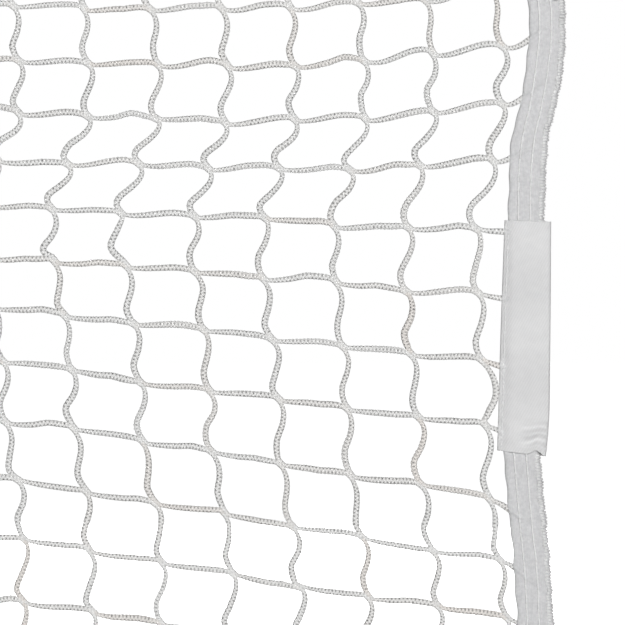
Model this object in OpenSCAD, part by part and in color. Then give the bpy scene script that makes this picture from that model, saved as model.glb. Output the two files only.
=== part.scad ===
// Portable short-court tennis net: knotless netting bound on all four sides with
// folded tape, three fabric sleeves on each side tape, a headline cord that runs
// loose in the headband, and an eyelet at each corner.
// +X runs along the net, +Z up, +Y from the front face to the back face.
// The origin is at the middle of the net, on its lower edge.

/* [Net] */
// Width over the side sleeves
net_w = 3000; // [2600:100:3400]
// Height from the fold of the bottom tape to the fold of the headband
net_h = 800; // [760:10:900]

/* [Netting] */
// Thickness of the netting cord
cord_d = 3.6; // [3:0.1:4]
// Meshes along the net
mesh_columns = 68; // [50:1:76]
// Meshes up the net
mesh_rows = 21; // [16:1:24]
// Number of facets on a round solid
facets = 32; // [16:4:64]

/* [Tapes] */
// Thickness of the side tape's fabric
tape_t = 0.8; // [0.5:0.1:1]
// Folded width of each side tape
side_tape_w = 23; // [20:1:26]
// Folded depth of the bottom tape
bottom_tape_h = 25; // [22:1:30]
// Folded depth of the headband
headband_h = 45; // [40:1:60]
// Thickness of the headband's and bottom tape's fabric
band_t = 0.9; // [0.6:0.1:1.2]
// Thickness of the sewing thread
thread_d = 0.6; // [0.3:0.1:0.8]

/* [Sleeves] */
// Width of a sleeve, from its seam to its fold
sleeve_w = 31; // [28:1:36]
// Depth of a sleeve, front panel to back panel
sleeve_d = 14; // [14:0.5:18]
// Length of a sleeve along the side tape
sleeve_h = 148; // [120:2:160]
// Distance between the middles of neighbouring sleeves
sleeve_pitch = 288; // [220:2:290]
// Thickness of the sleeve fabric
sleeve_t = 1; // [0.6:0.1:1.2]

/* [Headline cord] */
// Thickness of the headline cord
headline_d = 6; // [4:0.5:6]
// Cord that shows between the headband and each ferrule
headline_tail = 32; // [20:1:60]
// Inside radius of the eye at each end
eye_r = 11; // [8:1:16]
// Length of a ferrule
ferrule_l = 22; // [15:1:30]
// Thickness of a ferrule
ferrule_d = 13; // [12.5:0.1:13]

/* [Eyelets] */
// Radius of the eyelet's hole
eyelet_r = 4.2; // [3:0.1:4.4]
// Radius of the eyelet's rim
eyelet_rim_r = 9; // [8:0.5:9]
// Thickness of the eyelet's rim and of its washer
eyelet_rim_t = 0.8; // [0.5:0.1:0.9]
// Wall of the eyelet's barrel
eyelet_wall = 0.8; // [0.5:0.1:0.8]
// Distance of an eyelet from the end of the net
eyelet_in = 22; // [18:1:30]

/* [Hidden] */
gap = 0.1;
thread_gap = 0.02;
cord_r = cord_d / 2;
half_w = net_w / 2;

// Depths, front to back. The side tape lies just behind the sleeve's front panel.
sleeve_front_y = -sleeve_d / 2;
tape_half_d = cord_r + gap + tape_t;
row_y = sleeve_front_y + sleeve_t + thread_d + 2 * gap + tape_half_d;
upright_y = row_y + cord_d + gap;
band_half_d = cord_d + 2 * gap + band_t;
band_y = (row_y + upright_y) / 2;
band_front_y = band_y - band_half_d;
band_back_y = band_y + band_half_d;

// The side tape is set back from the end of the net by the sleeve that goes round it.
tape_edge_set_back = 3.5;
tape_outer_x = half_w - tape_edge_set_back;
tape_inner_x = tape_outer_x - side_tape_w;
tape_z0 = bottom_tape_h;
tape_z1 = net_h - headband_h;
tape_l = tape_z1 - tape_z0;

// The netting's first and last uprights lie in the folds of the side tapes.
selvedge_x = tape_outer_x - tape_half_d;
column_pitch = 2 * selvedge_x / mesh_columns;
row_end_x = selvedge_x - cord_d / 2 - 4 * gap;
top_row_z = net_h - 30;
bottom_row_z = bottom_tape_h - 4;
row_pitch = (top_row_z - bottom_row_z) / mesh_rows;
upright_z0 = bottom_row_z - 4;
upright_z1 = top_row_z + 4;

sleeve_mid_z = (tape_z0 + tape_z1) / 2;
sleeve_inner_x = half_w - sleeve_w;
sleeve_corner_r = 3;
slit_half_d = cord_r + gap;

headline_r = headline_d / 2;
headline_z = net_h - band_half_d;
ferrule_x0 = half_w + headline_tail;
ferrule_x1 = ferrule_x0 + ferrule_l;
// The two legs of an eye leave the ferrule side by side and open round a circle.
leg_z = headline_r + 2 * gap;
eye_mid_r = eye_r + headline_r;
eye_open_angle = 40;
leg_x = ferrule_x1 + headline_r;
leg_l = (eye_mid_r * cos(eye_open_angle) - leg_z) / sin(eye_open_angle);
eye_x = leg_x + leg_l * cos(eye_open_angle) + eye_mid_r * sin(eye_open_angle);

upper_eyelet_z = net_h - 17;
lower_eyelet_z = 11;
eyelet_x = half_w - eyelet_in;
barrel_r = eyelet_r + eyelet_wall;

// Where the lines of stitching run: from the open edge, and from one line to the next.
band_seam_in = 4;
band_seam_pitch = 7;
side_seam_in = 6.5;
side_seam_pitch = 7.5;
sleeve_seam_in = 1;
overlock_r = 0.5;

// The middle of the cord round an eye, as [x, z] from the headline's own height.
eye_end_angle = 90 + eye_open_angle;
eye_step = 10;
eye_path = concat(
    [[ferrule_x1, -leg_z], [leg_x, -leg_z]],
    [for (a = [-eye_end_angle : eye_step : eye_end_angle]) [eye_x + eye_mid_r * cos(a), eye_mid_r * sin(a)]],
    [[leg_x, leg_z], [ferrule_x1, leg_z]]
);
cord_sides = 12;

$fn = facets;

// Puts a shape made for the right-hand end of the net at the end that side names.
module at_side(side) {
    if (side > 0) children();
    else mirror([1, 0, 0]) children();
}

// A round rod along X, centred.
module rod_x(length, r) {
    rotate([0, 90, 0]) cylinder(h = length, r = r, center = true);
}

// A hole or barrel along Y, from y0 to y1.
module rod_y(y0, y1, r) {
    translate([0, y1, 0]) rotate([90, 0, 0]) cylinder(h = y1 - y0, r = r);
}

function unit(v) = v / norm(v);
// The directions of the path into and out of its point i, which are the same at an end.
function path_in(path, i) = unit(i > 0 ? path[i] - path[i - 1] : path[1] - path[0]);
function path_out(path, i) = unit(i < len(path) - 1 ? path[i + 1] - path[i] : path[i] - path[i - 1]);

// One ring of a cord, square to the path at point i and widened to keep a bend full.
function cord_ring(path, i, r) =
    let (along = unit(path_in(path, i) + path_out(path, i)), spread = r / (along * path_out(path, i)))
    [for (j = [0 : cord_sides - 1])
        let (a = 360 * j / cord_sides)
        [path[i][0] - along[1] * spread * cos(a), r * sin(a), path[i][1] + along[0] * spread * cos(a)]];

// A cord along a path of [x, z] points, with flat ends.
module swept_cord(path, r) {
    rings = len(path);
    polyhedron(
        points = [for (i = [0 : rings - 1]) each cord_ring(path, i, r)],
        faces = concat(
            [[for (j = [0 : cord_sides - 1]) j]],
            [for (i = [0 : rings - 2], j = [0 : cord_sides - 1])
                let (a = i * cord_sides + j, b = i * cord_sides + (j + 1) % cord_sides)
                [a, a + cord_sides, b + cord_sides, b]],
            [[for (j = [cord_sides - 1 : -1 : 0]) (rings - 1) * cord_sides + j]]
        )
    );
}

// A folded tape's section: it is open towards -X, and the outside of its fold is at x = 0.
module fold_2d(width, half_d, t) {
    difference() {
        union() {
            translate([-half_d, 0]) circle(r = half_d);
            translate([-width, -half_d]) square([width - half_d, 2 * half_d]);
        }
        translate([-half_d, 0]) circle(r = half_d - t);
        translate([-width - 1, t - half_d]) square([width - half_d + 1, 2 * (half_d - t)]);
    }
}

// A box with a round outer side and rounded inner corners, from x = 0 back to -width.
module sleeve_outline_2d(width, half_d, corner_r) {
    translate([-half_d, 0]) circle(r = half_d);
    translate([-width + corner_r, -half_d]) square([width - corner_r - half_d, 2 * half_d]);
    translate([-width, corner_r - half_d]) square([corner_r, 2 * (half_d - corner_r)]);
    for (side = [-1, 1])
        translate([-width + corner_r, side * (half_d - corner_r)]) circle(r = corner_r);
}

// A sleeve's section: closed at its fold, with a slit at its seam for the netting.
module sleeve_2d() {
    half_d = sleeve_d / 2;
    difference() {
        sleeve_outline_2d(sleeve_w, half_d, sleeve_corner_r);
        translate([-sleeve_t, 0])
            sleeve_outline_2d(sleeve_w - 2 * sleeve_t, half_d - sleeve_t, sleeve_corner_r - sleeve_t);
        translate([-sleeve_w - 1, row_y - slit_half_d])
            square([sleeve_t + sleeve_corner_r + 1, 2 * slit_half_d]);
    }
}

module netting_rows() {
    color("gainsboro")
        for (k = [0 : mesh_rows])
            translate([0, row_y, top_row_z - k * row_pitch]) rod_x(2 * row_end_x, cord_r);
}

module netting_uprights() {
    color("gainsboro")
        for (i = [1 : mesh_columns - 1])
            translate([selvedge_x - i * column_pitch, upright_y, upright_z0])
                cylinder(h = upright_z1 - upright_z0, r = cord_r);
}

module selvedge_cord(side) {
    color("gainsboro")
        at_side(side)
            translate([selvedge_x, row_y, upright_z0])
                cylinder(h = upright_z1 - upright_z0, r = cord_r);
}

module side_tape(side) {
    color("whitesmoke")
        at_side(side)
            translate([tape_outer_x, row_y, tape_z0])
                linear_extrude(tape_l) fold_2d(side_tape_w, tape_half_d, tape_t);
}

// The hole that an eyelet's barrel is set in.
module eyelet_hole(z) {
    for (side = [-1, 1])
        translate([side * eyelet_x, 0, z])
            rod_y(band_front_y - 1, band_back_y + 1, barrel_r + gap);
}

module headband() {
    color("white")
        difference() {
            translate([half_w, band_y, net_h])
                rotate([0, -90, 0])
                    linear_extrude(net_w) fold_2d(headband_h, band_half_d, band_t);
            eyelet_hole(upper_eyelet_z);
        }
}

module bottom_tape() {
    color("whitesmoke")
        difference() {
            translate([-half_w, band_y, 0])
                rotate([0, 90, 0])
                    linear_extrude(net_w) fold_2d(bottom_tape_h, band_half_d, band_t);
            eyelet_hole(lower_eyelet_z);
        }
}

// The lower end of a sleeve: level is 1 for the upper one, 0 for the middle and -1 for the lower.
function sleeve_z0(level) = sleeve_mid_z + level * sleeve_pitch - sleeve_h / 2;

module sleeve(side, level) {
    color("snow")
        at_side(side)
            translate([half_w, 0, sleeve_z0(level)])
                linear_extrude(sleeve_h) sleeve_2d();
}

module headline_cord() {
    color("silver")
        translate([0, band_y, headline_z]) rod_x(2 * ferrule_x0, headline_r);
}

module headline_eye(side) {
    color("silver")
        at_side(side)
            translate([0, band_y, headline_z]) swept_cord(eye_path, headline_r);
}

module ferrule(side) {
    color("silver")
        at_side(side)
            translate([(ferrule_x0 + ferrule_x1) / 2, band_y, headline_z])
                rod_x(ferrule_l, ferrule_d / 2);
}

// The eyelet proper: its rim lies on the front face and its barrel goes through the tape.
module eyelet(side, z) {
    color("goldenrod")
        at_side(side)
            translate([eyelet_x, 0, z])
                difference() {
                    union() {
                        rod_y(band_front_y - eyelet_rim_t, band_front_y, eyelet_rim_r);
                        rod_y(band_front_y - eyelet_rim_t, band_back_y + eyelet_rim_t, barrel_r);
                    }
                    rod_y(band_front_y - 2, band_back_y + 2, eyelet_r);
                }
}

module washer(side, z) {
    color("goldenrod")
        at_side(side)
            translate([eyelet_x, 0, z])
                difference() {
                    rod_y(band_back_y, band_back_y + eyelet_rim_t, eyelet_rim_r);
                    rod_y(band_back_y - 1, band_back_y + 2, barrel_r + thread_gap);
                }
}

// Two lines of stitching along a band, on its front and its back, from height z upwards.
module band_seams(z, direction) {
    r = thread_d / 2;
    color("ivory")
        for (line = [0, 1], y = [band_front_y - r - thread_gap, band_back_y + r + thread_gap])
            translate([0, y, z + direction * line * band_seam_pitch])
                rod_x(2 * (eyelet_x - eyelet_rim_r) - 2, r);
}

module side_tape_seams(side) {
    r = thread_d / 2;
    depth = tape_half_d + r + thread_gap;
    color("ivory")
        at_side(side)
            for (line = [0, 1], y = [row_y + depth, row_y - depth])
                translate([tape_inner_x + side_seam_in + line * side_seam_pitch, y, tape_z0])
                    cylinder(h = tape_l, r = r);
}

// A line of stitching along the open edge of each sleeve, on both panels.
module sleeve_seams(side) {
    r = thread_d / 2;
    depth = sleeve_d / 2 + r + thread_gap;
    color("ivory")
        at_side(side)
            for (level = [-1 : 1], y = [-depth, depth])
                translate([sleeve_inner_x + sleeve_seam_in + sleeve_corner_r, y, sleeve_z0(level)])
                    cylinder(h = sleeve_h, r = r);
}

module overlock(side) {
    color("white")
        at_side(side)
            translate([tape_outer_x + overlock_r + thread_gap, row_y, tape_z0])
                cylinder(h = tape_l, r = overlock_r);
}

netting_rows();
netting_uprights();
selvedge_cord(-1);  // selvedge_cord_left
selvedge_cord(1);  // selvedge_cord_right
headband();
bottom_tape();
side_tape(-1);  // side_tape_left
side_tape(1);  // side_tape_right
sleeve(-1, 1);  // sleeve_left_upper
sleeve(-1, 0);  // sleeve_left_middle
sleeve(-1, -1);  // sleeve_left_lower
sleeve(1, 1);  // sleeve_right_upper
sleeve(1, 0);  // sleeve_right_middle
sleeve(1, -1);  // sleeve_right_lower
headline_cord();
headline_eye(-1);  // headline_eye_left
headline_eye(1);  // headline_eye_right
ferrule(-1);  // ferrule_left
ferrule(1);  // ferrule_right
eyelet(-1, upper_eyelet_z);  // eyelet_upper_left
eyelet(1, upper_eyelet_z);  // eyelet_upper_right
eyelet(-1, lower_eyelet_z);  // eyelet_lower_left
eyelet(1, lower_eyelet_z);  // eyelet_lower_right
washer(-1, upper_eyelet_z);  // washer_upper_left
washer(1, upper_eyelet_z);  // washer_upper_right
washer(-1, lower_eyelet_z);  // washer_lower_left
washer(1, lower_eyelet_z);  // washer_lower_right
band_seams(tape_z1 + band_seam_in, 1);  // headband_seams
band_seams(bottom_tape_h - band_seam_in, -1);  // bottom_tape_seams
side_tape_seams(-1);  // side_tape_seams_left
side_tape_seams(1);  // side_tape_seams_right
sleeve_seams(-1);  // sleeve_seams_left
sleeve_seams(1);  // sleeve_seams_right
overlock(-1);  // overlock_left
overlock(1);  // overlock_right
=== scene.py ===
"""Looks of the portable tennis net: knotless netting, folded tapes, sleeves, headline cord and eyelets.

Metres in the CAD model's frame: +X along the net, +Z up, the front face towards -Y.
"""

import math

import bmesh
import bpy
import numpy as np
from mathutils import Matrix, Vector


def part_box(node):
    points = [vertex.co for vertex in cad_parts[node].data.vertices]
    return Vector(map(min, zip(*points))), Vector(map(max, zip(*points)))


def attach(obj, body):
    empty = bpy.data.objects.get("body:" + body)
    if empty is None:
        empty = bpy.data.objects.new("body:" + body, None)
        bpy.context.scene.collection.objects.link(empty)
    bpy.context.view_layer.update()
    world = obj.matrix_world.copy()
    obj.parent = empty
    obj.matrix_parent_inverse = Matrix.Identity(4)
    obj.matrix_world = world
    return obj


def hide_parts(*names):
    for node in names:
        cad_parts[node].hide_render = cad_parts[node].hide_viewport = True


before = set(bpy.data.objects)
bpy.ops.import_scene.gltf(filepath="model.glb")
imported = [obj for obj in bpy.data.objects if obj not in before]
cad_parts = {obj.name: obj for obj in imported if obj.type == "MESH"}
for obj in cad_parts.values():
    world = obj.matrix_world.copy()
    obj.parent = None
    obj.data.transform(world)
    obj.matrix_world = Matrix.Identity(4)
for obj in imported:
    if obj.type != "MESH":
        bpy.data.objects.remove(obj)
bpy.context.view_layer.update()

MM = 0.001
SIDES = ((1, "right"), (-1, "left"))
rng = np.random.default_rng(7)
scene = bpy.context.scene

# ---------------------------------------------------------------- places taken from the CAD model


def node_box(name):
    """A CAD node's lowest and highest corners as arrays."""
    return tuple(np.array(corner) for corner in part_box(name))


rows_low, rows_high = node_box("netting_rows")
CORD_R = (rows_high[1] - rows_low[1]) / 2
ROW_Y = (rows_high[1] + rows_low[1]) / 2
TOP_ROW_Z = rows_high[2] - CORD_R
BOTTOM_ROW_Z = rows_low[2] + CORD_R
selvedge_low, selvedge_high = node_box("selvedge_cord_right")
SELVEDGE_X = (selvedge_low[0] + selvedge_high[0]) / 2
COLUMNS = 68
ROWS = 21

tape_low, tape_high = node_box("side_tape_right")
TAPE_INNER_X = tape_low[0]
TAPE_W = tape_high[0] - TAPE_INNER_X
TAPE_Z0, TAPE_Z1 = tape_low[2], tape_high[2]

band_low, band_high = node_box("headband")
HALF_W = band_high[0]
BAND_Y = (band_low[1] + band_high[1]) / 2
NET_TOP = band_high[2]
BAND_Z = band_low[2]
BOTTOM_TAPE_H = node_box("bottom_tape")[1][2]

sleeve_low, sleeve_high = node_box("sleeve_right_middle")
SLEEVE_W = sleeve_high[0] - sleeve_low[0]
SLEEVE_H = sleeve_high[2] - sleeve_low[2]
SLEEVE_MID_Z = (sleeve_high[2] + sleeve_low[2]) / 2

# ---------------------------------------------------------------- camera, light and world

VIEW_WIDTH = 396 * MM
VIEW_X = HALF_W - 150.5 * MM
VIEW_Z = SLEEVE_MID_Z + 15.5 * MM
CAMERA_DISTANCE = 2.6
SENSOR_WIDTH = 36.0

camera_data = bpy.data.cameras.new("camera")
camera_data.sensor_width = SENSOR_WIDTH
camera_data.lens = SENSOR_WIDTH * CAMERA_DISTANCE / VIEW_WIDTH
camera_data.clip_end = 200
camera = bpy.data.objects.new("camera", camera_data)
camera.location = (VIEW_X, ROW_Y - CAMERA_DISTANCE, VIEW_Z)
camera.rotation_euler = (math.pi / 2, 0, 0)
scene.collection.objects.link(camera)
scene.camera = camera
scene.view_settings.view_transform = "Standard"


def area_light(name, place, target, size, power):
    """A square soft light at place that faces target."""
    direction = np.array(target, float) - np.array(place, float)
    data = bpy.data.lights.new(name, "AREA")
    data.shape = "SQUARE"
    data.size = size
    data.energy = power
    light = bpy.data.objects.new(name, data)
    light.location = place
    light.rotation_euler = Vector(direction).to_track_quat("-Z", "Y").to_euler()
    scene.collection.objects.link(light)


NET_MIDDLE = (0, 0, NET_TOP / 2)
area_light("key", (2.6, -5.2, 1.5), NET_MIDDLE, 1.0, 176)
area_light("fill", (-1.6, -5.3, 0.8), NET_MIDDLE, 1.2, 62)
area_light("back", (1.2, 5.2, 0.9), NET_MIDDLE, 1.5, 125)
area_light("top", (0, -0.3, 4.5), (0, 0, 0), 3.6, 8)

world = bpy.data.worlds.new("studio")
scene.world = world
world.use_nodes = True
world_nodes, world_links = world.node_tree.nodes, world.node_tree.links
world_nodes.clear()
world_mix = world_nodes.new("ShaderNodeMixShader")
world_links.new(world_nodes.new("ShaderNodeLightPath").outputs["Is Camera Ray"], world_mix.inputs["Fac"])
# A faint fill for the net, and white behind it for the camera.
for socket, colour, strength in ((1, (0.98, 0.99, 1, 1), 0.03), (2, (1, 1, 1, 1), 1.0)):
    background = world_nodes.new("ShaderNodeBackground")
    background.inputs["Color"].default_value = colour
    background.inputs["Strength"].default_value = strength
    world_links.new(background.outputs["Background"], world_mix.inputs[socket])
world_out = world_nodes.new("ShaderNodeOutputWorld")
world_links.new(world_mix.outputs["Shader"], world_out.inputs["Surface"])

# ---------------------------------------------------------------- materials


class Nodes:
    """A small builder for one material's node tree round its Principled shader."""

    def __init__(self, name, roughness=0.8, specular=0.3, metallic=0.0, sheen=0.0):
        self.material = bpy.data.materials.new(name)
        self.material.use_nodes = True
        self.tree = self.material.node_tree
        self.shader = self.tree.nodes["Principled BSDF"]
        self.shader.inputs["Roughness"].default_value = roughness
        self.shader.inputs["Specular IOR Level"].default_value = specular
        self.shader.inputs["Metallic"].default_value = metallic
        self.shader.inputs["Sheen Weight"].default_value = sheen
        self.shader.inputs["Sheen Roughness"].default_value = 0.5

    def node(self, kind, **settings):
        made = self.tree.nodes.new(kind)
        for key, value in settings.items():
            setattr(made, key, value)
        return made

    def put(self, value, socket):
        """Links value to socket if it is an output, and sets the socket to it otherwise."""
        if isinstance(value, bpy.types.NodeSocket):
            self.tree.links.new(value, socket)
        else:
            socket.default_value = value

    def math(self, operation, *values, clamp=False):
        made = self.node("ShaderNodeMath", operation=operation, use_clamp=clamp)
        for value, socket in zip(values, made.inputs):
            self.put(value, socket)
        return made.outputs[0]

    def times(self, first, second):
        return self.math("MULTIPLY", first, second)

    def scaled(self, value, size, offset, clamp=False):
        return self.math("MULTIPLY_ADD", value, size, offset, clamp=clamp)

    def attribute(self, name):
        return self.node("ShaderNodeAttribute", attribute_name=name).outputs["Fac"]

    def uv(self):
        """The two coordinates of the piece's UV map."""
        return self.split(self.node("ShaderNodeUVMap", uv_map="UVMap").outputs["UV"])

    def split(self, vector):
        """A vector's first two coordinates."""
        made = self.node("ShaderNodeSeparateXYZ")
        self.put(vector, made.inputs[0])
        return made.outputs["X"], made.outputs["Y"]

    def noise(self, scale, detail=2.0):
        """Noise over the piece's own coordinates in metres, from 0 to 1."""
        made = self.node("ShaderNodeTexNoise")
        made.inputs["Scale"].default_value = scale
        made.inputs["Detail"].default_value = detail
        self.put(self.node("ShaderNodeTexCoord").outputs["Object"], made.inputs["Vector"])
        return made.outputs["Fac"]

    def blend(self, factor, low, high):
        """A colour between low and high."""
        made = self.node("ShaderNodeMix", data_type="RGBA")
        self.put(factor, made.inputs["Factor"])
        for colour, socket in ((low, made.inputs[6]), (high, made.inputs[7])):
            self.put(colour if isinstance(colour, bpy.types.NodeSocket) else (*colour, 1), socket)
        return made.outputs[2]

    def colour(self, value):
        self.put(value, self.shader.inputs["Base Color"])

    def roughness(self, low, high, factor):
        self.put(self.scaled(factor, high - low, low), self.shader.inputs["Roughness"])

    def bump(self, height, distance, strength=1.0):
        made = self.node("ShaderNodeBump")
        made.inputs["Distance"].default_value = distance
        made.inputs["Strength"].default_value = strength
        self.put(height, made.inputs["Height"])
        self.put(made.outputs["Normal"], self.shader.inputs["Normal"])


# How a braided cord's surface repeats: hollows in a diamond lattice, in columns side by side round the cord,
# a little deeper and shallower by turns.
PIT_SHARPNESS = 2.6
LONG_TURN = 0.15
TURN = 2 * math.pi
FIBRE_SCALE = 2600
YARN_SCALE = 2200
SCRATCH_SCALE = 3000


def braid_pits(stitches, turns, columns):
    """How deep a braided cord is hollowed, from 0 to 1, at stitches along it and turns round it."""
    lattice = np.cos(TURN * stitches) * np.cos(TURN * columns * turns)
    long_turn = np.cos(TURN * (0.5 * stitches + turns))
    return (0.5 + 0.5 * lattice) ** PIT_SHARPNESS * (1 - LONG_TURN * (0.5 - 0.5 * long_turn))


def pit_nodes(made, columns):
    """How deep braid_pits hollows the cord, in nodes, from a UV map of (turns, stitches)."""
    turns, stitches = made.uv()
    along = made.math("COSINE", made.times(stitches, TURN))
    around = made.math("COSINE", made.times(turns, TURN * columns))
    lattice = made.scaled(made.times(along, around), 0.5, 0.5)
    long_turn = made.math("COSINE", made.times(made.scaled(stitches, 0.5, turns), TURN))
    shallow = made.scaled(long_turn, 0.5 * LONG_TURN, 1 - 0.5 * LONG_TURN)
    return made.times(made.math("POWER", lattice, PIT_SHARPNESS), shallow)


def cord_material(name, columns, bright, dark, warm):
    """Braided cord: light yarn, with painted shade in its hollows where knit is 1, and warmer where tone is 1.
    """
    made = Nodes(name, roughness=0.75, specular=0.2)
    pits = pit_nodes(made, columns)
    fibres = made.noise(FIBRE_SCALE, 3)
    patchy = made.noise(420, 2)
    knit = made.attribute("knit")
    # Painted shade: the yarn is darkened in the braid's hollows, and less within the joints, where knit is 0.
    painted_hollow_shade = made.times(pits, made.scaled(patchy, 1.75, -0.1))
    painted_hollow_shade = made.times(painted_hollow_shade, made.scaled(knit, 0.75, 0.25))
    plain = made.times(made.math("SUBTRACT", 1.0, knit), made.times(patchy, 0.12))
    shown = made.math("SUBTRACT", made.scaled(fibres, 0.34, 0.84), painted_hollow_shade)
    shown = made.math("SUBTRACT", shown, plain, clamp=True)
    clean, warmer = made.blend(shown, dark, bright), made.blend(shown, dark, warm)
    made.colour(made.blend(made.attribute("tone"), clean, warmer))
    made.roughness(0.65, 0.85, fibres)
    made.bump(made.scaled(fibres, 0.3, made.math("SUBTRACT", 1.0, pits)), 0.35 * MM)
    return made.material


def weave_material(name, colour, shade, warp, weft, twill=0.0, contrast=0.5, relief=0.05, clouds=(160, 0.5)):
    """Cloth from a UV map in metres: warp and weft are the thread spacings, twill slants the weave, and
    clouds are the scale and strength of its soft patches."""
    made = Nodes(name, roughness=0.8, specular=0.2, sheen=0.06)
    u, v = made.uv()
    across = made.math("SINE", made.times(made.scaled(v, twill, u), TURN / warp))
    along = made.math("SINE", made.times(v, TURN / weft))
    weave = made.scaled(made.math("ADD", across, along), 0.25, 0.5)
    cloud_scale, cloud_size = clouds
    cloudy = made.scaled(made.noise(cloud_scale, 3), cloud_size, 0.05 - 0.5 * cloud_size)
    fine = made.noise(YARN_SCALE, 2)
    shown = made.scaled(weave, contrast, made.times(fine, 0.35))
    made.colour(made.blend(made.math("ADD", shown, cloudy, clamp=True), shade, colour))
    made.roughness(0.7, 0.9, fine)
    made.bump(made.scaled(fine, 0.3, weave), relief * MM, 0.9)
    return made.material


def thread_material(name, colour, shade):
    """Two-ply sewing thread from a UV map of (turns, plies along)."""
    made = Nodes(name, roughness=0.5, specular=0.4, sheen=0.1)
    twist = made.math("SINE", made.times(made.math("ADD", *made.uv()), 2 * TURN))
    made.colour(made.blend(made.scaled(twist, 0.35, 0.6, clamp=True), shade, colour))
    made.bump(twist, 0.05 * MM, 0.7)
    return made.material


def metal_material(name, colour, shade, roughness):
    """Metal with fine scratches and a little tarnish."""
    made = Nodes(name, roughness=roughness, specular=0.5, metallic=1.0)
    scratches = made.noise(SCRATCH_SCALE, 2)
    made.colour(made.blend(made.noise(260, 4), shade, colour))
    made.roughness(roughness - 0.08, roughness + 0.14, scratches)
    made.bump(scratches, 0.02 * MM, 0.5)
    return made.material


def grey(value, blue=0.0):
    """A grey with a little more or less blue."""
    return value, value, value + blue


# Columns of hollows round each kind of cord, and how far they repeat along it.
NET_BRAID, NET_STITCH = 2, 2.3 * MM
HEADLINE_BRAID, HEADLINE_STITCH = 8, 2.6 * MM
YARN = grey(0.90, -0.01)
THREAD_GAP = 0.9 * MM
# The netting's and headline's dark greys are the painted shade in their braids' hollows; the netting's also
# darkens its joints' mottled yarn.
NETTING_CORD = cord_material("netting_cord", NET_BRAID, grey(0.95, -0.01), grey(0.20), (0.94, 0.90, 0.86))
HEADLINE_CORD = cord_material("headline_braid", HEADLINE_BRAID, YARN, grey(0.32), YARN)
SIDE_TAPE = weave_material(
    "side_tape_webbing", grey(0.81, 0.005), grey(0.62, 0.01), 1.1 * MM, THREAD_GAP, 0, 0.3, clouds=(520, 1.5)
)
HEADBAND = weave_material("headband_canvas", grey(0.84), grey(0.70), THREAD_GAP, THREAD_GAP, relief=0.08)
SLEEVE = weave_material("sleeve_twill", grey(0.885), grey(0.69, 0.005), 1.75 * MM, 60 * MM, -0.5, relief=0.09)
THREAD = thread_material("sewing_thread", grey(0.97), grey(0.90))
OVERLOCK_THREAD = thread_material("overlock_thread", grey(0.97, -0.005), grey(0.86))
ALUMINIUM = metal_material("ferrule_aluminium", grey(0.80, 0.01), grey(0.62, 0.01), 0.38)
BRASS = metal_material("eyelet_brass", (0.80, 0.62, 0.32), (0.62, 0.45, 0.20), 0.26)

# ---------------------------------------------------------------- mesh building


def smoothstep(x):
    x = np.clip(x, 0, 1)
    return x * x * (3 - 2 * x)


def through(knots, x):
    """A smooth curve through a few (place, value) pairs, read at x."""
    places, values = np.array(knots, float).T
    slopes = np.gradient(values, places)
    x = np.clip(x, places[0], places[-1])
    i = np.clip(np.searchsorted(places, x) - 1, 0, len(places) - 2)
    step = places[i + 1] - places[i]
    t = (x - places[i]) / step
    start = (2 * t**3 - 3 * t**2 + 1) * values[i] + (t**3 - 2 * t**2 + t) * step * slopes[i]
    end = (3 * t**2 - 2 * t**3) * values[i + 1] + (t**3 - t**2) * step * slopes[i + 1]
    return start + end


def unit(v):
    return v / np.linalg.norm(v, axis=-1, keepdims=True)


def make_mesh(name, vertices, faces, uvs, material, body, marks=None):
    """One object from face groups: each is (corner indices, whether smooth), with UVs of its own. marks are
    the named numbers, one or one for each vertex, that its material reads."""
    mesh = bpy.data.meshes.new(name)
    vertices = np.asarray(vertices, np.float32).reshape(-1, 3)
    corners = np.concatenate([group.ravel() for group, _ in faces]).astype(np.int32)
    sizes = np.concatenate([np.full(len(group), group.shape[1]) for group, _ in faces]).astype(np.int32)
    smooth = np.concatenate([np.full(len(group), is_smooth) for group, is_smooth in faces])
    mesh.vertices.add(len(vertices))
    mesh.vertices.foreach_set("co", vertices.ravel())
    mesh.loops.add(len(corners))
    mesh.loops.foreach_set("vertex_index", corners)
    mesh.polygons.add(len(sizes))
    mesh.polygons.foreach_set("loop_start", np.concatenate([[0], np.cumsum(sizes)[:-1]]).astype(np.int32))
    mesh.polygons.foreach_set("loop_total", sizes)
    mesh.polygons.foreach_set("use_smooth", smooth)
    layer = mesh.uv_layers.new(name="UVMap")
    layer.data.foreach_set("uv", np.concatenate([u.reshape(-1) for u in uvs]).astype(np.float32))
    for mark, values in (marks or {}).items():
        layer = mesh.attributes.new(mark, "FLOAT", "POINT")
        layer.data.foreach_set("value", np.broadcast_to(values, len(vertices)).astype(np.float32))
    mesh.update(calc_edges=True)
    mesh.validate()
    mesh.materials.append(material)
    made = bpy.data.objects.new(name, mesh)
    scene.collection.objects.link(made)
    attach(made, body)
    return made


def stand_for(made, slot, *nodes):
    """Hides the CAD nodes that a piece replaces; slot, what it is made of, is not used."""
    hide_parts(*nodes)
    return made


def distances(paths):
    """How far along its path each point of paths lies."""
    steps = np.linalg.norm(np.diff(paths, axis=1), axis=2)
    return np.concatenate([np.zeros((len(paths), 1)), np.cumsum(steps, 1)], 1)


def tubes(paths, radii, front, end_tangents=None):
    """Vertices of one tube for each path: paths is (tubes, rings, 3) and radii (tubes, rings, sides). The
    first side of each ring is as near to the direction front as can be."""
    tangents = np.gradient(paths, axis=1)
    if end_tangents is not None:
        tangents[:, 0], tangents[:, -1] = end_tangents
    tangents = unit(tangents)
    aside = unit(np.cross(tangents, np.broadcast_to(front, tangents.shape)))
    ahead = np.cross(aside, tangents)
    angle = 2 * np.pi * np.arange(radii.shape[2]) / radii.shape[2]
    spokes = ahead[:, :, None] * np.cos(angle)[:, None] + aside[:, :, None] * np.sin(angle)[:, None]
    return paths[:, :, None] + spokes * radii[..., None]


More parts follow.
